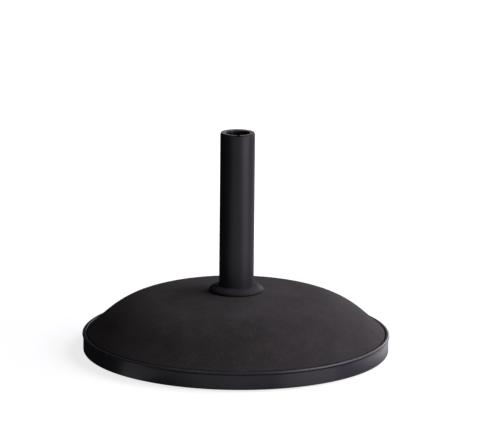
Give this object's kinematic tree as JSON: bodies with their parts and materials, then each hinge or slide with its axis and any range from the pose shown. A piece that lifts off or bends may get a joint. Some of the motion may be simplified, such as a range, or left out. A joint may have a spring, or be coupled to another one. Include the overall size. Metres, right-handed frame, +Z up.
{
  "type": "parasol base",
  "caption": "Round weighted parasol base: a dark concrete dome in a steel tray with a rolled lip, a bolted steel stem, and a split sleeve pinched by a rear hand screw.",
  "frame": {"origin": "centre of the base at floor level, on the stem's axis, under the undersides of the feet", "axes": "+Z up along the stem; +Y towards the clamp knob at the back; the sleeve's slit faces -Y; +X to the right seen from the front"},
  "size_m": [0.48, 0.48, 0.3475],
  "materials": {
    "pan_paint": "satin",
    "stem_paint": "satin",
    "concrete": "matte",
    "foot_rubber": "matte",
    "zinc_steel": "satin",
    "collar_plastic": "satin",
    "black_plastic": "matte",
    "sleeve_plastic": "satin",
    "pad_nylon": "satin"
  },
  "bodies": {
    "base": {"base_pan": "pan_paint", "concrete_weight": "concrete", "foot_1": "foot_rubber", "foot_2": "foot_rubber", "foot_3": "foot_rubber", "foot_4": "foot_rubber", "foot_5": "foot_rubber", "foot_6": "foot_rubber", "foot_screw_1": "zinc_steel", "foot_screw_2": "zinc_steel", "foot_screw_3": "zinc_steel", "foot_screw_4": "zinc_steel", "foot_screw_5": "zinc_steel", "foot_screw_6": "zinc_steel", "tie_bolt": "zinc_steel", "spring_washer": "zinc_steel", "plate_washer": "zinc_steel", "stem_end_plate": "zinc_steel", "weld_nut": "zinc_steel", "stem_tube": "stem_paint", "collar": "collar_plastic", "pole_cup": "black_plastic", "clamp_boss": "stem_paint"},
    "sleeve": {"pole_sleeve": "sleeve_plastic"},
    "pad": {"clamp_pad": "pad_nylon"},
    "knob": {"clamp_screw": "zinc_steel", "clamp_knob": "black_plastic"}
  },
  "joints": [
    {"name": "sleeve_lift", "type": "slide", "parent": "base", "child": "sleeve", "axis": [0, 0, 1], "range_m": [0, 0.085]},
    {"name": "clamp_travel", "type": "slide", "parent": "base", "child": "pad", "axis": [0, 1, 0], "range_m": [0, 0.008]},
    {"name": "clamp_turn", "type": "hinge", "parent": "pad", "child": "knob", "pos_m": [0, 0.05, 0.3], "axis": [0, 1, 0], "range_deg": [0, 1918]}
  ],
  "couplings": [
    {"joint": "clamp_travel", "follows": "clamp_turn", "m_per_rad": 0.00023873}
  ]
}
